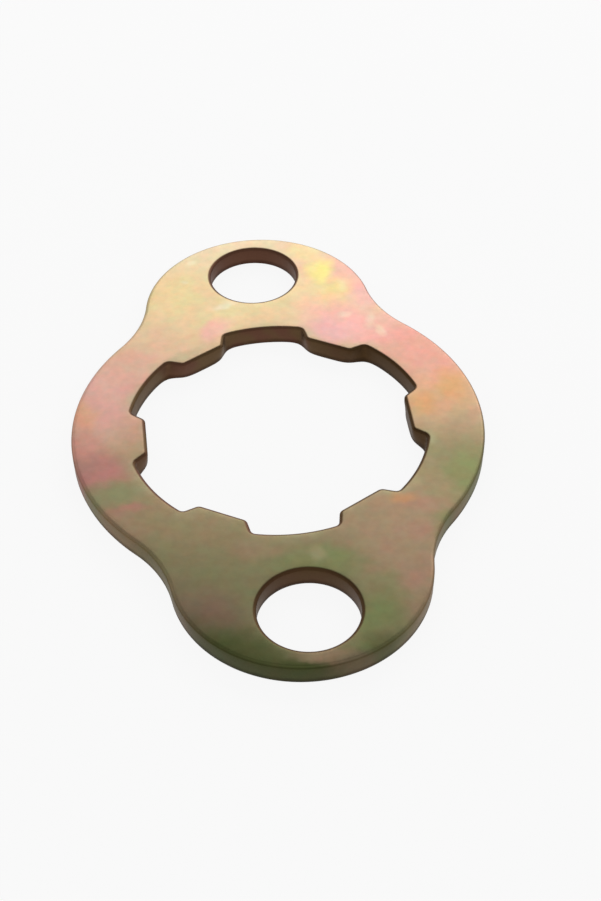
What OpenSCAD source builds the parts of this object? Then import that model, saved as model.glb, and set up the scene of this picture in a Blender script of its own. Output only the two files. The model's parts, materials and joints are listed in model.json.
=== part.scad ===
// A flat stamped steel washer that holds a chain sprocket on a splined shaft.
// A ring with two ears lies in the XY plane. Its underside is at Z = 0, the
// splined hole is centred on the Z axis and the ears point along +Y and -Y.
// The press rolled the edges of the upper face over and left the underside's square.

/* [Sheet] */
// Thickness of the sheet that the washer is stamped from
sheet_t = 1.4; // [0.8:0.1:4]
// Width of the rolled edge, measured across the upper face
roll_w = 0.25; // [0.18:0.01:0.3]
// Drop of the rolled edge, measured down the wall
roll_h = 0.14; // [0.05:0.01:0.22]
// Slope at which the rolled edge leaves the upper face, in degrees
roll_lead = 5; // [3:1:10]

/* [Splined shaft] */
// Outside diameter of the splined shaft that the washer slides over
shaft_d = 20; // [17:0.5:22]
// Play on that diameter between the shaft and the floors of the gaps between the teeth
shaft_play = 0.3; // [0.1:0.05:1]

/* [Bolts] */
// Distance between the centres of the two bolts
bolt_pitch = 33; // [30:0.2:38]
// Thread size of the bolts
bolt_size = 6; // [4:0.5:8]
// Play between a bolt and its hole, on the diameter
bolt_play = 0.4; // [0.1:0.1:1.5]

/* [Ring and ears] */
// Width of the ring, from the floor of a gap between two teeth to its outside
ring_w = 3.85; // [2.5:0.05:6]
// Diameter of the round end of each ear
ear_d = 16.6; // [12:0.2:22]
// Metal left between a bolt hole and the end of its ear
end_wall = 1.3; // [0.7:0.1:4]
// Radius of the hollow where the side of an ear runs into the ring
waist_r = 8; // [2:0.2:14]

/* [Teeth] */
// Number of teeth round the splined hole
tooth_count = 6; // [3:1:8]
// Height of a tooth at its middle, from the floor of the gaps to its flat tip
tooth_h = 1.2; // [0.9:0.1:2]
// Width of a tooth's tip, measured to its corners before they are rounded
tip_w = 3.4; // [2:0.1:4.5]
// Slope of a tooth's flank, in degrees from the tooth's own centre line
flank_slope = 40; // [5:1:45]
// Radius that rounds the two corners of a tooth's tip
tip_r = 0.5; // [0.3:0.05:0.6]
// Radius in the corner between a flank and the floor of a gap
root_r = 0.4; // [0.3:0.05:0.8]

/* [Hidden] */
$fn = 48;

// Cuts run past both faces of the sheet by this much
clear = 1;
// Rounds cross the lines that they run into by this much, so that they never only touch
touch = 0.001;

// The rolled edge is an arc, drawn in a section where the wall stands at X = 0 and Y is up
roll_chord = [roll_w, -roll_h];
roll_half_turn = atan2(roll_h, roll_w) - roll_lead;
roll_r = norm(roll_chord) / 2 / sin(roll_half_turn);
roll_c = [-roll_w, sheet_t] + roll_chord / 2
    - roll_r * cos(roll_half_turn) * [roll_h, roll_w] / norm(roll_chord);
// The arc runs on past the wall by this much, so that no ledge is left where they meet
roll_past = 0.03;

// The holes
hole_r = (shaft_d + shaft_play) / 2;
bolt_r = (bolt_size + bolt_play) / 2;

// The outer outline
ring_r = hole_r + ring_w;
ear_r = ear_d / 2;
ear_y = bolt_pitch / 2 + bolt_r + end_wall - ear_r;
// The hollow's circle runs into the ring's circle and the ear's circle from outside
ring_to_waist = ring_r + waist_r - touch;
ear_to_waist = ear_r + waist_r - touch;
waist_y = (ring_to_waist ^ 2 - ear_to_waist ^ 2 + ear_y ^ 2) / (2 * ear_y);
waist_x = sqrt(ring_to_waist ^ 2 - waist_y ^ 2);

// One tooth, in its own frame: +X runs out along its centre line and +Y across it
tip_x = hole_r - tooth_h;
tip_corner = [tip_x, tip_w / 2];
along_flank = [cos(flank_slope), sin(flank_slope)];
out_of_flank = [-sin(flank_slope), cos(flank_slope)];
// Centre of the round on the tip's corner
round_c = [tip_x + tip_r, tip_w / 2 - tip_r * (1 - sin(flank_slope)) / cos(flank_slope)];
// Centre of the round in the root's corner, as far from the flank as from the gap's floor
root_off = root_r - touch;
root_line = tip_corner + root_off * out_of_flank;
root_b = root_line * along_flank;
root_run = sqrt(root_b ^ 2 - root_line * root_line + (hole_r - root_off) ^ 2) - root_b;
root_c = root_line + root_run * along_flank;
// A tooth's solid reaches into the ring's metal, past the rolled edge of the gap's floor
tooth_reach = hole_r + 2 * roll_w;

function flip(p) = [p.x, -p.y];

// Copies turned half a turn, for what both ears have
module each_ear() {
    for (turn = [0, 180])
        rotate(turn) children();
}

// Copies mirrored across a line through the origin, whose normal is given
module both_sides(normal) {
    children();
    mirror(normal) children();
}

// What the rolled edge takes off a wall that stands at X = 0, drawn with Y for up
module roll_off() {
    difference() {
        translate([roll_c.x, sheet_t - roll_h - roll_past])
            square([roll_past - roll_c.x, roll_h + roll_past + clear]);
        translate(roll_c) circle(roll_r);
    }
}

// A round piece of sheet with its upper edge rolled over
module rolled_disc(r) {
    rotate_extrude() difference() {
        square([r, sheet_t]);
        translate([r, 0]) roll_off();
    }
}

// A round cut through the sheet that rolls the upper edge of what it leaves
module rolled_cut(r) {
    rotate_extrude() {
        translate([0, -clear]) square([r, sheet_t + 2 * clear]);
        translate([r, 0]) mirror([1, 0]) roll_off();
    }
}

// Rolls the upper edge of a straight wall through a point, whose open side faces along heading
module roll_straight(point, heading) {
    translate(point) rotate(heading) rotate([90, 0, 0])
        linear_extrude(2 * tooth_reach, center = true) roll_off();
}

// The neck between the ring and an ear, with a hollow on each side
module neck() {
    difference() {
        linear_extrude(sheet_t)
            polygon([[0, 0], [waist_x, waist_y], [0, ear_y], [-waist_x, waist_y]]);
        both_sides([1, 0]) translate([waist_x, waist_y]) rolled_cut(waist_r);
    }
}

// The ring and its two ears, before any hole
module blank() {
    rolled_disc(ring_r);
    each_ear() {
        translate([0, ear_y]) rolled_disc(ear_r);
        neck();
    }
}

// Fills the corner between a flank and the gap's floor, up to the root's round
module root_fill() {
    reach = root_r + 1.5 * roll_w;
    into_tooth = -reach * out_of_flank;
    into_ring = reach * root_c / norm(root_c);
    difference() {
        translate(root_c) linear_extrude(sheet_t)
            polygon([[0, 0], into_tooth, into_tooth + into_ring, into_ring]);
        translate(root_c) rolled_cut(root_r);
    }
}

// A tooth with a flat tip, two sloping flanks and rounds at its four corners
module tooth() {
    round_tip = [tip_x, round_c.y];
    round_flank = round_c + tip_r * out_of_flank;
    flank_end = tip_corner + (tooth_reach - tip_x) / along_flank.x * along_flank;
    half = [round_tip, round_c, round_flank, flank_end];
    difference() {
        linear_extrude(sheet_t)
            polygon(concat(half, [for (i = [len(half) - 1:-1:0]) flip(half[i])]));
        roll_straight(tip_corner, 180);
        both_sides([0, 1]) roll_straight(tip_corner, 90 + flank_slope);
    }
    both_sides([0, 1]) {
        translate(round_c) rolled_disc(tip_r + touch);
        root_fill();
    }
}

module sprocket_washer() {
    color("darkkhaki") {
        difference() {
            blank();
            rolled_cut(hole_r);
            each_ear() translate([0, bolt_pitch / 2]) rolled_cut(bolt_r);
        }
        for (i = [0:tooth_count - 1])
            rotate(i * 360 / tooth_count) tooth();
    }
}

sprocket_washer();
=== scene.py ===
"""A stamped and yellow-passivated sprocket washer that lies on a pale studio floor."""

import json
import math

import bmesh
import bpy
import numpy as np
from bpy.props import FloatProperty, FloatVectorProperty, PointerProperty
from mathutils import Matrix, Vector, noise
from mathutils.geometry import delaunay_2d_cdt


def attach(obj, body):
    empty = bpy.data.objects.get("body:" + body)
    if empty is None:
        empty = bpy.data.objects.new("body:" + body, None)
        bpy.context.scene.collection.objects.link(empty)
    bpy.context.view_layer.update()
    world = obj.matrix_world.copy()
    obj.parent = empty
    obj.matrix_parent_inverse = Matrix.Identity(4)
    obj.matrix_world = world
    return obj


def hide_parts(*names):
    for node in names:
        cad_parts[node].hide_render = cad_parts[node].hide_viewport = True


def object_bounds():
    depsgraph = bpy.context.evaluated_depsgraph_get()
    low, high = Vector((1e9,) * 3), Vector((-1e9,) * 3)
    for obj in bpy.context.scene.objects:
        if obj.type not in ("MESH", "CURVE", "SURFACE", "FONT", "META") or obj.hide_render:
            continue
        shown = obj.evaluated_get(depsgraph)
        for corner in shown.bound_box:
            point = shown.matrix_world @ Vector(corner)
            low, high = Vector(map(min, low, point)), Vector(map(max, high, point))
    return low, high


bl_info = {
    "name": "Sprocket Washer",
    "version": (1, 0, 0),
    "blender": (4, 5, 0),
    "location": "View3D > Sidebar > Washer",
    "description": "Builds a stamped sprocket washer with its passivated finish, and its stage",
    "category": "Object",
}

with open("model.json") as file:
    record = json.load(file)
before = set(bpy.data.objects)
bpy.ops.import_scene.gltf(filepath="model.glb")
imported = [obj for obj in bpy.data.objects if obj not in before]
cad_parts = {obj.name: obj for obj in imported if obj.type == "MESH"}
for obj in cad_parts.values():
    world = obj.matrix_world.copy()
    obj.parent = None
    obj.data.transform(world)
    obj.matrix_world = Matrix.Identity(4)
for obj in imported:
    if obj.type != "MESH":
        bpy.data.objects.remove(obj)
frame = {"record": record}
CAD_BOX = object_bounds()
CAD_NODE = "sprocket_washer"
MM = 0.001


def mount(name):
    """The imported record's mount of that name."""
    return next(m for m in frame["record"]["mounts"] if m["name"] == name)


BOX_HIGH = Vector(CAD_BOX[1])
BOLT_HOLE = mount("bolt_hole_a")


def length(name, description, millimetres):
    """A property that holds a length, given in millimetres and kept in metres."""
    return FloatProperty(
        name=name, description=description, default=millimetres * MM,
        min=0.0, unit="LENGTH", subtype="DISTANCE", precision=5)


def slope(name, description, degrees):
    """A property that holds an angle, given in degrees."""
    return FloatProperty(
        name=name, description=description, default=math.radians(degrees),
        subtype="ANGLE", unit="ROTATION")


def share(name, description, default):
    """A property that holds a share between none and all."""
    return FloatProperty(
        name=name, description=description, default=default,
        min=0.0, max=1.0, subtype="FACTOR")


def tone(name, description, default):
    """A property that holds a colour, as linear red, green and blue."""
    return FloatVectorProperty(
        name=name, description=description, default=default,
        size=3, min=0.0, max=1.0, subtype="COLOR")


class WasherSizes(bpy.types.PropertyGroup):
    """The washer's lengths, and the slope of its teeth's flanks."""

    sheet_t: length("Sheet", "Thickness of the sheet", BOX_HIGH.z / MM)
    ring_r: length("Ring radius", "Radius of the ring's outside", BOX_HIGH.x / MM)
    ear_end: length("Ear end", "From the centre to the end of an ear", BOX_HIGH.y / MM)
    ear_r: length("Ear radius", "Radius of the round end of an ear", 8.3)
    waist_r: length("Waist radius", "Radius of the hollow between ear and ring", 8.0)
    bolt_y: length("Bolt place", "From the centre to a bolt hole", BOLT_HOLE["pos_m"][1] / MM)
    bolt_r: length("Bolt hole radius", "Radius of a bolt hole", BOLT_HOLE["dims"]["r_mm"])
    hole_r: length("Splined hole radius", "Radius of the gap floors", 10.15)
    tooth_h: length("Tooth height", "From the gap floors to a tooth's flat tip", 1.2)
    tip_w: length("Tip width", "Width of a tooth's tip before its rounds", 3.4)
    flank_slope: slope("Flank slope", "Slope of a flank from the tooth's centre line", 40.0)
    tip_r: length("Tip round", "Radius at a tip's corners", 0.5)
    root_r: length("Root round", "Radius in a gap's corners", 0.4)
    foot_wear: length("Foot wear", "Reach over which the teeth are softened at the foot", 0.55)
    roll_w: length("Roll width", "Width of the rolled upper edge", 0.28)
    roll_h: length("Roll height", "Drop of the rolled upper edge", 0.17)
    break_w: length("Lower edge", "Width of the small break on the lower edge", 0.05)
    tear: length("Tear", "Depth of the torn zone at the foot of the walls", 0.03)
    wave: length("Wave", "Unevenness of the pressed faces", 0.012)


class FinishLook(bpy.types.PropertyGroup):
    """The tones and gloss of the passivated zinc, with painted shade and painted highlights among
    them.
    """

    # Straw and cream, the tones of the far end, are partly painted light: that end is paler where
    # the light falls on it
    straw: tone("Straw", "Pale yellow of the thinnest film", (0.76, 0.59, 0.34))
    cream: tone("Cream", "Palest tone of the film", (0.74, 0.60, 0.42))
    # The clear yellow spot below is a painted highlight, the soft highlight on the far ear
    lemon: tone("Lemon", "Clear yellow of one spot", (0.86, 0.81, 0.24))
    honey: tone("Honey", "Warm yellow of a few spots", (0.84, 0.64, 0.29))
    frost: tone("Frost", "Pale tone where the film is rubbed", (0.80, 0.71, 0.52))
    peach: tone("Peach", "Warm tone across the middle", (0.66, 0.42, 0.28))
    rose: tone("Rose", "Pink of the film", (0.83, 0.46, 0.40))
    blush: tone("Blush", "Cooler pink", (0.77, 0.43, 0.43))
    coral: tone("Coral", "Warmer and deeper pink", (0.76, 0.37, 0.30))
    apricot: tone("Apricot", "Orange pink", (0.88, 0.46, 0.28))
    copper: tone("Copper", "Orange of the film", (0.70, 0.38, 0.17))
    mauve: tone("Mauve", "Darker pink of the film", (0.62, 0.28, 0.25))
    fawn: tone("Fawn", "Light brown below the middle", (0.44, 0.335, 0.19))
    umber: tone("Umber", "Pinkish brown of a thick film", (0.48, 0.33, 0.21))
    clay: tone("Clay", "Redder brown of small blotches", (0.56, 0.29, 0.22))
    plum: tone("Plum", "Dark pinkish brown", (0.32, 0.21, 0.145))
    sage: tone("Sage", "Grey green of a thick film", (0.32, 0.285, 0.148))
    olive: tone("Olive", "Green of a thick film", (0.29, 0.325, 0.135))
    moss: tone("Moss", "Greyer green", (0.37, 0.35, 0.19))
    # Painted shade: the dark end of the near ear
    dusk: tone("Dusk", "Darkest green, at the end of one ear", (0.135, 0.15, 0.052))
    # The rim's pale green is a painted highlight along the splined hole's rolled edge
    rim: tone("Rim", "Pale green along the splined hole", (0.53, 0.46, 0.28))
    # The inner walls' red brown is partly the film's tone and partly painted shade
    inner_wall_brown_and_shade: tone("Inner walls", "Red brown of the walls in the holes", (0.135, 0.058, 0.033))
    inner_wall_tint: tone("Tinted inner walls", "Yellower brown on parts of them",
                          (0.132, 0.076, 0.032))
    # Painted shade on one side of the holes' walls and towards the near end
    inner_wall_painted_shade: tone("Dark inner walls", "Dark brown on one side of them",
                          (0.082, 0.042, 0.014))
    # Painted shade: darkens the film on the wall round the outside and on its rolled edge, so
    # they match the shaded face next to them
    outer_wall_painted_shade: tone("Outer wall", "Shade of the film on the wall round the outside",
                     (0.46, 0.44, 0.38))
    torn_foot: tone("Torn foot", "Shade of the torn metal at the foot of the walls",
                    (0.55, 0.50, 0.46))
    metallic: share("Metallic", "Share of metal in the finish", 0.85)
    roughness: share("Roughness", "Roughness of the pressed faces", 0.36)
    wall_roughness: share("Wall roughness", "Roughness of the sheared walls", 0.55)


class StageLook(bpy.types.PropertyGroup):
    """The camera, the floor and the lights."""

    azimuth: slope("Azimuth", "Turn of the camera round the washer", -6.6228)
    elevation: slope("Elevation", "Height of the camera over the floor", 44.1677)
    roll: slope("Roll", "Lean of the camera to its right", 0.6717)
    distance: length("Distance", "From the camera to the point it looks at", 108.2216)
    aim: FloatVectorProperty(
        name="Aim", description="Point that the camera looks at",
        default=(1.3516 * MM, -1.3662 * MM, 0.0), size=3, unit="LENGTH", subtype="TRANSLATION")
    lens: FloatProperty(
        name="Lens", description="Focal length", default=63.63, min=1.0, unit="CAMERA")
    floor: tone("Floor", "Colour of the floor", (0.9, 0.9, 0.9))
    floor_glow: share("Floor glow", "Share of plain white in what is seen of the floor", 0.9)
    panel_light: FloatProperty(
        name="Panel", description="Brightness of the soft panel behind the washer",
        default=1.15, min=0.0)


class Term:
    """A shader socket that can be used in Python expressions."""

    def __init__(self, plan, socket):
        self.plan = plan
        self.socket = socket

    def _joined(self, operation, first, second):
        kind = "ShaderNodeVectorMath" if self.socket.type == "VECTOR" else "ShaderNodeMath"
        return self.plan.node(kind, {"operation": operation}, {0: first, 1: second})

    def __add__(self, other):
        return self._joined("ADD", self, other)

    def __sub__(self, other):
        return self._joined("SUBTRACT", self, other)

    def __mul__(self, other):
        return self._joined("MULTIPLY", self, other)


class Plan:
    """The node tree of a material or a world, written as expressions."""

    def __init__(self, tree):
        self.tree = tree
        tree.nodes.clear()

    def node(self, kind, settings=None, values=None, output=0):
        """Adds a node, sets it up, fills its sockets and gives one of its outputs."""
        made = self.tree.nodes.new(kind)
        for name, setting in (settings or {}).items():
            if name == "stops":
                self._fill_ramp(made.color_ramp, setting)
            else:
                setattr(made, name, setting)
        for place, value in (values or {}).items():
            if isinstance(value, Term):
                self.tree.links.new(value.socket, made.inputs[place])
            else:
                made.inputs[place].default_value = value
        return Term(self, made.outputs[output]) if made.outputs else made

    def _fill_ramp(self, ramp, stops):
        """Sets a ramp's grey levels from pairs of a place and a level."""
        ramp.interpolation = "EASE"
        while len(ramp.elements) < len(stops):
            ramp.elements.new(0.5)
        for element, (place, level) in zip(ramp.elements, stops):
            element.position = place
            element.color = (level, level, level, 1.0)

    def blend(self, factor, first, second):
        """Goes from the first colour to the second as the factor goes from 0 to 1."""
        return self.node("ShaderNodeMix", {"data_type": "RGBA"},
                         {0: factor, 6: first, 7: second}, output=2)

    def shade(self, factor, colour, other):
        """Multiplies the colour by the other one, as far as the factor says."""
        return self.node("ShaderNodeMix", {"data_type": "RGBA", "blend_type": "MULTIPLY"},
                         {0: factor, 6: colour, 7: other}, output=2)

    def ease(self, value, low, high):
        """Goes smoothly from 0 at low to 1 at high, which may be the smaller of the two."""
        return self.node("ShaderNodeMapRange", {"interpolation_type": "SMOOTHSTEP"},
                         {"Value": value, "From Min": low, "From Max": high})

    def scaled(self, vector, factor):
        """The vector or colour times a number, as a vector."""
        return self.node("ShaderNodeVectorMath", {"operation": "SCALE"},
                         {0: vector, "Scale": factor})

    def attribute(self, name):
        """The number that the mesh keeps at each point under that name."""
        return self.node("ShaderNodeAttribute", {"attribute_name": name}, output="Fac")

    def part(self, vector, axis):
        """One part of the vector: 0, 1 or 2 for X, Y or Z."""
        return self.node("ShaderNodeSeparateXYZ", None, {0: vector}, output=axis)

    def clouds(self, place, grain, detail=2.0, output="Fac"):
        """Soft noise whose lumps measure about the grain, in the place's own unit."""
        return self.node("ShaderNodeTexNoise", None, {
            "Vector": place, "Scale": 1.0 / grain, "Detail": detail}, output=output)


def rgba(colour):
    """A colour with the fourth number that a socket wants."""
    return (*colour, 1.0)


TOOTH_COUNT = 6
# The spacing of the mesh's points along a wall and over the flat faces, in millimetres
WALL_STEP = 0.2
FACE_STEP = 0.34
# The grid over a flat face keeps this share of its spacing away from the walls
EDGE_ROOM = 0.7
# An arc has at least this many steps, and the rolled edge has this many rows
ARC_STEPS = 6
ROLL_ROWS = 8
# Heights of the wall's rows and of the torn zone's top, as shares of the sheet
WALL_ROWS = (0.72, 0.62, 0.55, 0.48, 0.40, 0.31, 0.22, 0.13, 0.07)
TEAR_TOP = 0.6
# The tear's depth below its top: how fast it comes in, its even part and its rough part
TEAR_GAIN = 1.6
TEAR_EVEN, TEAR_ROUGH = 0.75, 0.25
# Sizes of the lumps in the face and in the torn zone, in millimetres
FACE_LUMPS = 5.5
TEAR_LUMPS = (0.45, 1.3)
# The torn zone's lumps are lower than they are long by this factor
TEAR_SQUASH = 1.7
# The small break on the lower edge, as shares of its width inward and upward
FOOT_ROWS = ((0.3, 0.4), (1.0, 0.0))
# Points nearer than this, in millimetres, count as one when a face is filled
SAME_POINT = 1e-7
# How many points are measured against a wall in one go, which keeps the memory small
BATCH = 500
# Layers of noise are slices of one field, this far apart
LAYER_GAP = 17.3


def unit(degrees):
    """The direction at that angle."""
    turn = math.radians(degrees)
    return np.array([math.cos(turn), math.sin(turn)])


class Outline:
    """A closed run of points along a wall, each with the direction that the wall faces."""

    def __init__(self, step, foot_wear=0.0):
        self.step = step
        self.foot_wear = foot_wear
        self.points = []
        self.facing = []

    def line(self, start, end, facing):
        """A straight run, without its last point."""
        count = max(1, round(float(np.linalg.norm(end - start)) / self.step))
        for i in range(count):
            self.points.append(start + (end - start) * i / count)
            self.facing.append(np.array(facing, float))

    def arc(self, centre, radius, first, last, side):
        """An arc between two angles, without its last point; side is 1 where metal fills it."""
        sweep = math.radians(last - first)
        count = max(ARC_STEPS, round(abs(sweep) * radius / self.step))
        for i in range(count):
            out = unit(first + (last - first) * i / count)
            self.points.append(centre + radius * out)
            self.facing.append(side * out)

    def turned(self, degrees):
        """The run's points and facings, turned about the origin."""
        x, y = unit(degrees)
        spin = np.array([[x, y], [-y, x]])
        return [p @ spin for p in self.points], [f @ spin for f in self.facing]

    def repeated(self, count):
        """A closed outline made of the run and its copies turned about the origin."""
        whole = Outline(self.step, self.foot_wear)
        for i in range(count):
            points, facing = self.turned(360.0 * i / count)
            whole.points += points
            whole.facing += facing
        return whole

    def inset(self, depth):
        """The points moved into the metal by the depth, a number or one for each point."""
        depth = np.broadcast_to(depth, (len(self.points),))[:, None]
        return np.array(self.points) - np.array(self.facing) * depth

    def wear(self):
        """How far each point moves where the outline's corners are worn round."""
        points = np.array(self.points)
        if not self.foot_wear:
            return np.zeros_like(points)
        gaps = np.linalg.norm(np.roll(points, -1, axis=0) - points, axis=1)
        along = np.cumsum(gaps) - gaps
        away = np.abs(along[:, None] - along)
        away = np.minimum(away, gaps.sum() - away)
        weight = np.exp(-0.5 * (away / self.foot_wear) ** 2) * (gaps + np.roll(gaps, 1))
        return weight @ points / weight.sum(axis=1, keepdims=True) - points


def angle_of(vector):
    """The vector's angle in degrees."""
    return math.degrees(math.atan2(vector[1], vector[0]))


def outer_outline(s, step):
    """Half of the ring, a waist, the round end of an ear and the other waist, twice."""
    ear_y = s.ear_end - s.ear_r
    to_ring, to_ear = s.ring_r + s.waist_r, s.ear_r + s.waist_r
    waist_y = (to_ring ** 2 - to_ear ** 2 + ear_y ** 2) / (2 * ear_y)
    waist_x = math.sqrt(to_ring ** 2 - waist_y ** 2)
    waist, ear = np.array([waist_x, waist_y]), np.array([0.0, ear_y])
    other_waist = np.array([-waist_x, waist_y])
    ring_turn, ear_turn = angle_of(waist), angle_of(waist - ear)
    half = Outline(step)
    half.arc(np.zeros(2), s.ring_r, -ring_turn, ring_turn, 1)
    half.arc(waist, s.waist_r, 180 + ring_turn, 180 + ear_turn, -1)
    half.arc(ear, s.ear_r, ear_turn, 180 - ear_turn, 1)
    half.arc(other_waist, s.waist_r, -ear_turn, -ring_turn, -1)
    return half.repeated(2)


def bolt_outline(s, step, side):
    """The round wall of one bolt hole, on the side of +Y or -Y."""
    hole = Outline(step)
    hole.arc(np.array([0.0, side * s.bolt_y]), s.bolt_r, 0, 360, -1)
    return hole


def splined_outline(s, step):
    """The wall of the splined hole: six teeth with rounded corners and the gap floors."""
    tip_x = s.hole_r - s.tooth_h
    lean = math.degrees(s.flank_slope)
    along, out = unit(lean), unit(lean + 90)
    corner = np.array([tip_x, s.tip_w / 2])
    round_y = s.tip_w / 2 - s.tip_r * (1 - math.sin(s.flank_slope)) / math.cos(s.flank_slope)
    round_c = np.array([tip_x + s.tip_r, round_y])
    line = corner + s.root_r * out
    reach = float(line @ along)
    run = math.sqrt(reach ** 2 - float(line @ line) + (s.hole_r - s.root_r) ** 2) - reach
    root_c = line + run * along
    root_turn = angle_of(root_c)
    flip = np.array([1.0, -1.0])
    flank_top, flank_foot = round_c + s.tip_r * out, root_c - s.root_r * out
    pitch = 360.0 / TOOTH_COUNT
    tooth = Outline(step, s.foot_wear)
    tooth.arc(np.zeros(2), s.hole_r, -pitch / 2, -root_turn, -1)
    tooth.arc(root_c * flip, s.root_r, -root_turn, 90 - lean, -1)
    tooth.line(flank_foot * flip, flank_top * flip, out * flip)
    tooth.arc(round_c * flip, s.tip_r, 270 - lean, 180, 1)
    tooth.line(np.array([tip_x, -round_y]), np.array([tip_x, round_y]), [-1.0, 0.0])
    tooth.arc(round_c, s.tip_r, 180, lean + 90, 1)
    tooth.line(flank_top, flank_foot, out)
    tooth.arc(root_c, s.root_r, lean - 90, root_turn, -1)
    tooth.arc(np.zeros(2), s.hole_r, root_turn, pitch / 2, -1)
    return tooth.repeated(TOOTH_COUNT)


class MillimetreSizes:
    """The washer's lengths in millimetres, and its angles as they are."""

    def __init__(self, sizes):
        for name, item in WasherSizes.__annotations__.items():
            value = getattr(sizes, name)
            is_angle = item.keywords.get("subtype") == "ANGLE"
            setattr(self, name, value if is_angle else value / MM)


def soft_noise(points, grain, layer):
    """Smooth noise between -1 and 1 for rows of x, y and z."""
    lift = Vector((0, 0, LAYER_GAP * layer))
    return np.array([noise.noise(Vector(p) / grain + lift) for p in points])


def face_dip(s, flat):
    """How far the pressed face lies below the sheet's full thickness."""
    at = np.column_stack([flat, np.zeros(len(flat))])
    return s.wave * (0.5 + 0.5 * soft_noise(at, FACE_LUMPS, 1))


def wall_sections(s, outline):
    """The rows from the upper face down a wall to the underside.

    Each has its points, their heights and how far down the rolled edge it lies, from 0 to 1.
    """
    rows = []
    wall = outline.inset(0.0)
    level = np.ones(len(wall))
    wear = outline.wear()
    dip = face_dip(s, wall)
    for i in range(ROLL_ROWS + 1):
        down = i / ROLL_ROWS
        turn = 0.5 * math.pi * down
        inset = s.roll_w * (1 - math.sin(turn))
        drop = s.roll_h * (1 - math.cos(turn))
        rows.append((outline.inset(inset), s.sheet_t - drop - dip * (1 - down), down))
    for part in WALL_ROWS:
        height = part * s.sheet_t
        torn = max(0.0, 1 - part / TEAR_TOP)
        at = np.column_stack([wall, level * height * TEAR_SQUASH])
        rough = sum(0.5 * soft_noise(at, lumps, layer)
                    for layer, lumps in enumerate(TEAR_LUMPS, start=2))
        depth = s.tear * min(1.0, TEAR_GAIN * torn) * (TEAR_EVEN + TEAR_ROUGH * rough)
        worn = wear * (1 - part / WALL_ROWS[0])
        rows.append((outline.inset(depth) + worn, level * height, 1.0))
    for share_in, share_up in FOOT_ROWS:
        flat = outline.inset(s.tear + share_in * s.break_w) + wear
        rows.append((flat, level * share_up * s.break_w, 1.0))
    return rows


def inside(points, loop):
    """Which points lie inside a closed loop."""
    ahead = np.roll(loop, -1, axis=0)
    x, y = points[:, 0][:, None], points[:, 1][:, None]
    spans = (loop[:, 1] > y) != (ahead[:, 1] > y)
    rise = np.where(ahead[:, 1] == loop[:, 1], 1.0, ahead[:, 1] - loop[:, 1])
    crossing = loop[:, 0] + (y - loop[:, 1]) * (ahead[:, 0] - loop[:, 0]) / rise
    return (spans & (x < crossing)).sum(axis=1) % 2 == 1


def nearest(points, loop):
    """Each point's distance to the nearest point of a loop."""
    found = []
    for part in np.array_split(points, max(1, len(points) // BATCH)):
        found.append(np.sqrt(((part[:, None] - loop[None]) ** 2).sum(axis=2).min(axis=1)))
    return np.concatenate(found)


def face_fill(loops):
    """Points and triangles that fill the metal between the first loop and the others.

    The triangles count the loops' points first and the new points after them.
    """
    outer = loops[0]
    low, high = outer.min(axis=0), outer.max(axis=0)
    rise = FACE_STEP * math.sqrt(0.75)
    grid = []
    for row in range(int((high[1] - low[1]) / rise) + 1):
        start = low[0] + (0.5 * FACE_STEP if row % 2 else 0.0)
        for column in range(int((high[0] - start) / FACE_STEP) + 1):
            grid.append((start + column * FACE_STEP, low[1] + row * rise))
    grid = np.array(grid)
    keep = inside(grid, outer)
    for loop in loops[1:]:
        keep &= ~inside(grid, loop)
    grid = grid[keep]
    edge_gap = np.min([nearest(grid, loop) for loop in loops], axis=0)
    grid = grid[edge_gap > EDGE_ROOM * FACE_STEP]
    points, edges = [], []
    for loop in loops:
        first = len(points)
        points += [Vector(p) for p in loop]
        edges += [(first + i, first + (i + 1) % len(loop)) for i in range(len(loop))]
    points += [Vector(p) for p in grid]
    made, _, faces, sources, _, _ = delaunay_2d_cdt(points, edges, [], 0, SAME_POINT)
    if len(made) != len(points):
        raise RuntimeError("the face's outline crosses itself")
    back = {place: source[0] for place, source in enumerate(sources)}
    faces = np.array([[back[v] for v in face] for face in faces])
    flat = np.array([tuple(p) for p in points])
    middle = flat[faces].mean(axis=1)
    keep = inside(middle, outer)
    for loop in loops[1:]:
        keep &= ~inside(middle, loop)
    return grid, faces[keep]


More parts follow.
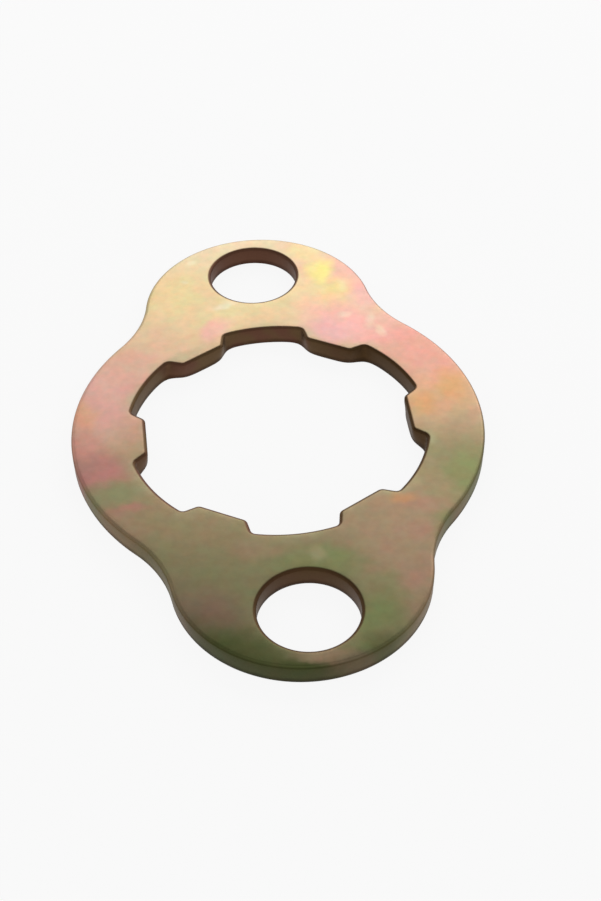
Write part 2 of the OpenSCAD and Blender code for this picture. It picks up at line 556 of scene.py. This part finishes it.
def washer_mesh(s):
    """The washer's mesh in metres, with each point's distances to the edges in millimetres."""
    outlines = [
        outer_outline(s, WALL_STEP),
        splined_outline(s, WALL_STEP),
        bolt_outline(s, WALL_STEP, 1),
        bolt_outline(s, WALL_STEP, -1),
    ]
    places, walls, faces = [], [], []
    top_rings, foot_rings = [], []
    for outline in outlines:
        count = len(outline.points)
        rings = []
        for flat, height, wall in wall_sections(s, outline):
            rings.append(len(places) + np.arange(count))
            places += np.column_stack([flat, height]).tolist()
            walls += [wall] * count
        for upper, lower in zip(rings, rings[1:]):
            for i in range(count):
                j = (i + 1) % count
                faces.append((upper[i], lower[i], lower[j], upper[j]))
        top_rings.append(rings[0])
        foot_rings.append(rings[-1])
    for rings, is_top in ((top_rings, True), (foot_rings, False)):
        at = np.array(places)
        grid, filled = face_fill([at[ring][:, :2] for ring in rings])
        rim = np.concatenate(rings)
        lookup = np.concatenate([rim, len(places) + np.arange(len(grid))])
        height = s.sheet_t - face_dip(s, grid) if is_top else np.zeros(len(grid))
        places += np.column_stack([grid, height]).tolist()
        walls += [0.0] * len(grid)
        faces += [tuple(lookup[face]) for face in filled]
    at = np.array(places)
    mesh = bpy.data.meshes.new("washer")
    mesh.from_pydata((at * MM).tolist(), [], [tuple(int(v) for v in face) for face in faces])
    kept = {"wall": np.array(walls)}
    for name, outline in zip(("outer_edge", "splined_edge"), outlines):
        kept[name] = nearest(at[:, :2], outline.inset(0.0))
    for name, values in kept.items():
        attribute = mesh.attributes.new(name, "FLOAT", "POINT")
        attribute.data.foreach_set("value", values.astype(np.float32))
    mesh.validate()
    work = bmesh.new()
    work.from_mesh(mesh)
    bmesh.ops.recalc_face_normals(work, faces=work.faces)
    work.to_mesh(mesh)
    work.free()
    mesh.shade_smooth()
    return mesh


# The film's tone from the near ear to the far one, partly painted light: darker towards the near
# ear as painted shade and paler towards the far one as painted light. Each takes over between two
# places on Y
BANDS = (("fawn", -15.0, -6.0), ("peach", -4.5, 2.0), ("straw", 4.0, 13.0))
# Where the film's tone differs, and a few patches of painted shade and painted highlight: tone,
# centre, reach along X and Y, turn, strength.
# Lengths are in millimetres in the washer's own frame, and each patch fades out at its reach.
PATCHES = (
    # Partly painted light: the far end made paler
    ("cream", (0.0, 20.5), (13.0, 5.0), 0, 0.7),
    ("honey", (-6.6, 15.2), (3.4, 3.6), 0, 0.25),
    ("rose", (3.6, 17.6), (1.8, 4.2), 12, 0.25),
    ("rose", (7.5, 15.4), (2.3, 5.0), 23, 0.9),
    ("honey", (4.0, 19.0), (2.0, 1.4), -40, 0.5),
    ("honey", (6.0, 13.6), (1.9, 2.8), -12, 0.8),
    # Painted highlight on the far ear
    ("lemon", (5.1, 16.5), (1.6, 2.0), -15, 0.75),
    ("rose", (-8.2, 9.6), (5.5, 4.0), -40, 0.3),
    ("rose", (-3.2, 10.5), (1.3, 2.2), -31, 0.8),
    ("rose", (-9.6, 6.4), (3.4, 3.6), -30, 0.5),
    ("rose", (7.0, 9.6), (7.4, 4.4), -28, 1.0),
    ("blush", (4.8, 9.2), (3.0, 1.8), -15, 0.7),
    ("blush", (8.1, 12.9), (1.5, 2.2), 15, 0.55),
    ("coral", (11.0, 6.3), (4.8, 6.4), 18, 0.9),
    ("copper", (11.4, 1.4), (4.6, 3.4), 0, 0.38),
    ("copper", (12.6, 2.5), (1.8, 2.3), 0, 0.75),
    ("copper", (10.1, 0.9), (1.4, 1.8), 0, 0.75),
    ("umber", (12.7, -1.5), (2.3, 1.6), 10, 0.6),
    ("sage", (11.3, -4.4), (4.6, 3.6), 0, 0.7),
    ("olive", (11.9, -5.9), (1.9, 3.2), -20, 0.8),
    ("rose", (-12.4, 3.8), (4.6, 6.6), 8, 0.9),
    ("apricot", (-13.3, 2.9), (1.4, 2.8), 8, 0.8),
    ("coral", (-13.3, -0.6), (2.4, 3.0), 5, 0.85),
    ("mauve", (-12.4, -2.9), (3.5, 2.4), 12, 0.95),
    ("moss", (-11.6, -5.3), (3.8, 1.8), 4, 0.9),
    ("clay", (-10.8, -6.9), (2.2, 0.65), 2, 0.9),
    ("umber", (-11.4, -7.9), (3.4, 1.6), -30, 0.7),
    ("umber", (6.8, -12.8), (5.0, 9.4), 6, 1.0),
    ("umber", (4.6, -10.1), (3.8, 2.0), 0, 0.5),
    ("umber", (-2.7, -11.1), (2.7, 1.4), -15, 0.4),
    ("clay", (8.6, -8.7), (2.8, 1.2), -15, 0.45),
    ("copper", (7.1, -8.1), (1.4, 0.6), -5, 0.6),
    ("clay", (7.9, -10.6), (1.9, 1.7), 0, 0.35),
    ("clay", (6.9, -14.5), (1.8, 2.2), 0, 0.3),
    ("olive", (9.8, -11.0), (1.3, 2.6), -20, 0.5),
    ("olive", (1.3, -12.8), (3.9, 1.9), -4, 0.85),
    ("olive", (3.9, -17.4), (2.4, 4.4), -25, 0.85),
    ("olive", (-4.6, -17.6), (1.6, 2.6), 10, 0.4),
    ("plum", (-6.4, -16.0), (4.4, 2.7), -20, 0.9),
    # The next three patches are painted shade at the end of the near ear
    ("dusk", (-4.8, -19.4), (6.2, 3.3), -35, 1.0),
    ("dusk", (-1.0, -21.2), (5.0, 1.5), 0, 1.0),
    ("dusk", (3.9, -20.0), (2.4, 1.5), 25, 0.6),
    ("plum", (2.2, -20.7), (2.2, 1.0), 10, 0.7),
    # Painted highlight on the rolled near edge of the near bolt hole
    ("umber", (0.3, -20.2), (2.6, 0.8), 2, 0.85),
)
# Small pale marks, laid out in the same way; the rim ones are painted highlights
MARKS = (
    ("frost", (-4.4, 18.6), (0.55, 0.4), 20, 0.6),
    ("frost", (-5.1, 16.3), (0.45, 0.3), 0, 0.5),
    ("frost", (-2.6, 13.1), (1.4, 0.5), 22, 0.7),
    ("frost", (8.0, 10.1), (0.6, 1.2), -15, 0.35),
    ("frost", (8.5, 8.8), (0.45, 1.0), 5, 0.4),
    ("frost", (6.1, 11.0), (0.8, 0.5), 10, 0.45),
    ("frost", (6.4, 14.4), (0.6, 0.8), -20, 0.25),
    ("rim", (1.1, -12.1), (0.7, 1.0), 10, 0.4),
    ("rim", (-5.9, 7.7), (2.2, 0.8), 27, 0.7),
)
# A patch is at full strength within this share of its reach, and it goes all through the sheet
PATCH_CORE = 0.2
PATCH_DEPTH = 100.0
# How far noise leads the patches' borders astray, in wide and in fine waves: grain and reach
DRIFT = (4.0, 2.0)
RIPPLE = (1.0, 0.8)
# Shades that noise goes between all over the film: grain, detail, shift along X, softness, shades
SHADES = (
    (1.5, 3.0, 0.0, 0.2, (1.045, 0.968, 0.98), (0.955, 1.03, 0.965)),
    (0.55, 2.0, 7.0, 0.2, (1.02, 0.99, 0.965), (0.98, 1.01, 1.02)),
    (0.6, 4.0, 0.0, 0.25, (0.95, 0.95, 0.95), (1.05, 1.05, 1.05)),
)
# The pale rim along the splined hole, a painted highlight of its rolled edge: its strength, where
# it fades out and in over the distance from the hole's edge, and the grain and the levels of the
# noise that breaks it up
RIM_STRENGTH = 0.55
RIM_FADE = (1.3, 0.1)
RIM_GRAIN = 2.2
RIM_LEVELS = (0.42, 0.66)
# What takes over down the rolled edge, from 0 at the upper face to 1 at the wall
WALL_GLOSS = (0.3, 0.9)
# On the inner edges the walls' tone, partly painted shade, comes in from the top of the rolled
# edge
INNER_TONE_AND_SHADE = (0.0, 0.32)
# On the outer edge that painted shade comes in from a quarter of the way down the rolled edge
OUTER_PAINTED_SHADE = (0.25, 0.75)
# Distances from the outer outline at which a wall stops and starts to count as the outer one
OUTER_FADE = (1.0, 0.5)
# The yellower tone of the inner walls: grain and levels of its noise, and where it ends along Y
TINT_GRAIN = 3.0
TINT_LEVELS = (0.42, 0.58)
TINT_END = (16.0, 13.0)
# The painted shade on the inner walls, dark on one side and towards the near end: where it comes
# in along X, and along Y with its strength there
PAINTED_SHADE_ACROSS = (1.5, 7.0)
PAINTED_SHADE_NEAR, PAINTED_SHADE_NEAR_STRENGTH = (-10.0, -13.0), 0.7
# The torn foot: heights between which it comes in, and the noise added to them
TORN_FADE = (0.65, 0.3)
TORN_GRAIN, TORN_WAVER = 0.8, 0.3
# Grain and detail of the fine texture and of the wider drift in gloss, and what they do
FINE_GRAIN = (0.12, 3.0)
GLOSS_CLOUDS = (2.4, 3.0)
GLOSS_SPREAD = 0.12
BUMP_STRENGTH, BUMP_HEIGHT = 0.35, 0.006


def toned(plan, colour, look, place, patches):
    """Lays the patches' tones over the colour, each fading out towards its reach."""
    for name, centre, reach, turn, strength in patches:
        local = plan.node("ShaderNodeMapping", {"vector_type": "TEXTURE"}, {
            "Vector": place, "Location": (*centre, 0.0),
            "Rotation": (0.0, 0.0, math.radians(turn)), "Scale": (*reach, PATCH_DEPTH)})
        away = plan.node("ShaderNodeVectorMath", {"operation": "LENGTH"}, {0: local}, output=1)
        cover = plan.ease(away, 1.0, PATCH_CORE) * strength
        colour = plan.blend(cover, colour, rgba(getattr(look, name)))
    return colour


def passivated_zinc(look):
    """Zinc under a chromate film whose thickness drifts, so that its tone does too, with painted
    shade and painted highlights laid into that tone.
    """
    material = bpy.data.materials.new("passivated_zinc")
    material.use_nodes = True
    plan = Plan(material.node_tree)
    metres = plan.node("ShaderNodeTexCoord", output="Object")
    place = plan.scaled(metres, 1.0 / MM)
    drift, ripple = (plan.scaled(plan.clouds(place, grain, output="Color"), reach)
                     for grain, reach in (DRIFT, RIPPLE))
    # Noise is a half on average, so half of its reach is taken off again
    strayed = place + drift + ripple - (0.5 * (DRIFT[1] + RIPPLE[1]),) * 3
    rippled = place + ripple - (0.5 * RIPPLE[1],) * 3
    across_plate, up_plate = plan.part(strayed, 0), plan.part(strayed, 1)
    colour = rgba(look.sage)
    # Darker towards the near ear and paler towards the far one, partly as painted shade and
    # painted light
    for name, low, high in BANDS:
        colour = plan.blend(plan.ease(up_plate, low, high), colour, rgba(getattr(look, name)))
    colour = toned(plan, colour, look, strayed, PATCHES)
    colour = toned(plan, colour, look, rippled, MARKS)

    # Painted highlight along the splined hole's rolled edge
    rim = plan.ease(plan.attribute("splined_edge"), *RIM_FADE)
    rim = rim * plan.ease(plan.clouds(place, RIM_GRAIN), *RIM_LEVELS)
    colour = plan.blend(rim * RIM_STRENGTH, colour, rgba(look.rim))

    for grain, detail, shift, softness, first, second in SHADES:
        waves = plan.clouds(place + (shift, 0.0, 0.0), grain, detail)
        shade = plan.blend(plan.ease(waves, 0.5 - softness, 0.5 + softness),
                           rgba(first), rgba(second))
        colour = plan.shade(1.0, colour, shade)

    down_wall = plan.attribute("wall")
    wall = plan.ease(down_wall, *WALL_GLOSS)
    yellower = plan.ease(plan.clouds(place, TINT_GRAIN), *TINT_LEVELS)
    yellower = yellower * plan.ease(up_plate, *TINT_END)
    # The inner walls' tone, partly painted shade, then painted shade on one side and towards the
    # near end
    inner_wall_shaded_tone = plan.blend(yellower, rgba(look.inner_wall_brown_and_shade), rgba(look.inner_wall_tint))
    for painted_shade_share in (plan.ease(across_plate, *PAINTED_SHADE_ACROSS),
                   plan.ease(up_plate, *PAINTED_SHADE_NEAR) * PAINTED_SHADE_NEAR_STRENGTH):
        inner_wall_shaded_tone = plan.blend(painted_shade_share, inner_wall_shaded_tone, rgba(look.inner_wall_painted_shade))
    inner_colour = plan.blend(plan.ease(down_wall, *INNER_TONE_AND_SHADE), colour, inner_wall_shaded_tone)
    # Painted shade on the wall round the outside and on the lower part of its rolled edge
    outer_painted_shade_colour = plan.shade(plan.ease(down_wall, *OUTER_PAINTED_SHADE), colour, rgba(look.outer_wall_painted_shade))
    outside = plan.ease(plan.attribute("outer_edge"), *OUTER_FADE)
    colour = plan.blend(outside, inner_colour, outer_painted_shade_colour)
    height = plan.part(place, 2) + plan.clouds(place, TORN_GRAIN) * TORN_WAVER
    torn = plan.ease(height, *TORN_FADE) * wall
    colour = plan.shade(torn, colour, rgba(look.torn_foot))

    texture = plan.clouds(place, *FINE_GRAIN)
    gloss = ((plan.clouds(place, *GLOSS_CLOUDS) - 0.5) * GLOSS_SPREAD
             + (texture - 0.5) * GLOSS_SPREAD)
    roughness = plan.node("ShaderNodeMix", None, {
        0: wall, 2: gloss + look.roughness, 3: gloss + look.wall_roughness})
    bump = plan.node("ShaderNodeBump", None, {
        "Height": texture, "Strength": BUMP_STRENGTH, "Distance": BUMP_HEIGHT * MM})
    shader = plan.node("ShaderNodeBsdfPrincipled", None, {
        "Base Color": colour, "Metallic": look.metallic,
        "Roughness": roughness, "Normal": bump})
    plan.node("ShaderNodeOutputMaterial", None, {"Surface": shader})
    return material


class WASHER_OT_make_washer(bpy.types.Operator):
    """Make the washer and its finish"""

    bl_idname = "washer.make_washer"
    bl_label = "Make washer"
    bl_options = {"UNDO"}

    def execute(self, context):
        sizes = MillimetreSizes(context.scene.washer_sizes)
        washer = bpy.data.objects.new("washer", washer_mesh(sizes))
        context.scene.collection.objects.link(washer)
        washer.data.materials.append(passivated_zinc(context.scene.washer_finish))
        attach(washer, "root")
        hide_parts(CAD_NODE)
        return {"FINISHED"}


# The stage is measured in metres, but for the camera's sensor, which is in millimetres
FLOOR_SIZE = 4.0
# The floor lies this far under the washer, so that the two never share a plane
FLOOR_GAP = 0.005 * MM
PANEL_SIZE = (0.14, 0.07)
PANEL_PLACE = (0.04, 0.11, 0.08)
SENSOR_WIDTH = 36.0
CLIP_NEAR, CLIP_FAR = 0.002, 50.0


def floor_paint(look):
    """Pale paint that the camera and the metal see as nearly white, with its shadows."""
    material = bpy.data.materials.new("floor_paint")
    material.use_nodes = True
    plan = Plan(material.node_tree)
    paint = plan.node("ShaderNodeBsdfDiffuse", None, {"Color": rgba(look.floor)})
    glow = plan.node("ShaderNodeEmission", None, {"Color": (1, 1, 1, 1), "Strength": 1.0})
    seen = (plan.node("ShaderNodeLightPath", output="Is Camera Ray")
            + plan.node("ShaderNodeLightPath", output="Is Glossy Ray")
            + plan.node("ShaderNodeLightPath", output="Is Transmission Ray"))
    shader = plan.node("ShaderNodeMixShader", None, {
        0: seen * look.floor_glow, 1: paint, 2: glow})
    plan.node("ShaderNodeOutputMaterial", None, {"Surface": shader})
    return material


# The world's brightness by the sine of the height over the horizon, which is white all round
SKY_BEHIND = ((0.0, 1.0), (0.05, 1.0), (0.15, 0.74), (0.50, 0.74),
              (0.73, 0.24), (0.90, 0.16), (0.97, 0.34), (1.0, 0.50))
SKY_IN_FRONT = ((0.0, 1.0), (0.05, 1.0), (0.15, 0.50), (1.0, 0.50))
# One sky goes over into the other within this much of the washer's X axis, on either side
SKY_SEAM = 0.3


def studio_world(scene):
    """Soft light, even in front of the washer, and behind it pale low down and dark above."""
    world = bpy.data.worlds.new("studio")
    world.use_nodes = True
    scene.world = world
    plan = Plan(world.node_tree)
    way = plan.node("ShaderNodeTexCoord", output="Generated")
    height = plan.part(way, 2)
    behind = plan.ease(plan.part(way, 1), -SKY_SEAM, SKY_SEAM)
    back_level = plan.node("ShaderNodeValToRGB", {"stops": SKY_BEHIND}, {0: height})
    front_level = plan.node("ShaderNodeValToRGB", {"stops": SKY_IN_FRONT}, {0: height})
    level = behind * (back_level - front_level) + front_level
    light = plan.node("ShaderNodeBackground", None, {
        "Color": (1.0, 1.0, 1.0, 1.0), "Strength": level})
    plan.node("ShaderNodeOutputWorld", None, {"Surface": light})


def add_floor(scene, look):
    """The floor under the washer."""
    half = FLOOR_SIZE / 2
    mesh = bpy.data.meshes.new("floor")
    corners = [(x * half, y * half, -FLOOR_GAP) for x, y in ((-1, -1), (1, -1), (1, 1), (-1, 1))]
    mesh.from_pydata(corners, [], [(0, 1, 2, 3)])
    floor = bpy.data.objects.new("floor", mesh)
    scene.collection.objects.link(floor)
    mesh.materials.append(floor_paint(look))


def add_panel(scene, look):
    """The soft panel behind the washer, a little to its right."""
    light = bpy.data.lights.new("panel", "AREA")
    light.shape = "RECTANGLE"
    light.size, light.size_y = PANEL_SIZE
    light.energy = look.panel_light * math.pi * PANEL_SIZE[0] * PANEL_SIZE[1]
    panel = bpy.data.objects.new("panel", light)
    scene.collection.objects.link(panel)
    panel.visible_camera = False
    place = Vector(PANEL_PLACE)
    turn = place.to_track_quat("Z", "Y").to_matrix().to_4x4()
    panel.matrix_world = Matrix.Translation(place) @ turn


def add_camera(scene, look):
    """The camera, at the angle from which the washer was seen."""
    data = bpy.data.cameras.new("camera")
    data.sensor_fit = "AUTO"
    data.sensor_width = SENSOR_WIDTH
    data.lens = look.lens
    data.clip_start = CLIP_NEAR
    data.clip_end = CLIP_FAR
    camera = bpy.data.objects.new("camera", data)
    scene.collection.objects.link(camera)
    a, e, r = look.azimuth, look.elevation, look.roll
    back = Vector((math.sin(a) * math.cos(e), -math.cos(a) * math.cos(e), math.sin(e)))
    right = Vector((math.cos(a), math.sin(a), 0.0))
    up = back.cross(right)
    leaned_up = up * math.cos(r) + right * math.sin(r)
    leaned_right = right * math.cos(r) - up * math.sin(r)
    turn = Matrix((leaned_right, leaned_up, back)).transposed().to_4x4()
    camera.matrix_world = Matrix.Translation(Vector(look.aim) + back * look.distance) @ turn
    scene.camera = camera


class WASHER_OT_make_stage(bpy.types.Operator):
    """Make the floor, the lights and the camera"""

    bl_idname = "washer.make_stage"
    bl_label = "Make stage"
    bl_options = {"UNDO"}

    def execute(self, context):
        scene = context.scene
        look = scene.washer_stage
        scene.view_settings.view_transform = "Standard"
        add_floor(scene, look)
        studio_world(scene)
        add_panel(scene, look)
        add_camera(scene, look)
        return {"FINISHED"}


class WASHER_PT_panel(bpy.types.Panel):
    """The washer's operators and settings"""

    bl_label = "Sprocket Washer"
    bl_idname = "WASHER_PT_panel"
    bl_space_type = "VIEW_3D"
    bl_region_type = "UI"
    bl_category = "Washer"

    def draw(self, context):
        scene = context.scene
        for operator, settings in (
                ("washer.make_washer", (scene.washer_sizes, scene.washer_finish)),
                ("washer.make_stage", (scene.washer_stage,))):
            box = self.layout.box()
            box.operator(operator)
            for group in settings:
                for name in type(group).__annotations__:
                    box.prop(group, name)


CLASSES = (
    WasherSizes, FinishLook, StageLook,
    WASHER_OT_make_washer, WASHER_OT_make_stage, WASHER_PT_panel,
)


def register():
    """Adds the classes and the scene's settings."""
    for item in CLASSES:
        bpy.utils.register_class(item)
    bpy.types.Scene.washer_sizes = PointerProperty(type=WasherSizes)
    bpy.types.Scene.washer_finish = PointerProperty(type=FinishLook)
    bpy.types.Scene.washer_stage = PointerProperty(type=StageLook)


def unregister():
    """Takes the scene's settings and the classes away again."""
    del bpy.types.Scene.washer_stage
    del bpy.types.Scene.washer_finish
    del bpy.types.Scene.washer_sizes
    for item in reversed(CLASSES):
        bpy.utils.unregister_class(item)


def main():
    """Registers the add-on, makes the washer and its stage, and keeps their sizes."""
    register()
    bpy.ops.washer.make_washer()
    bpy.ops.washer.make_stage()


if __name__ == "__main__":
    main()
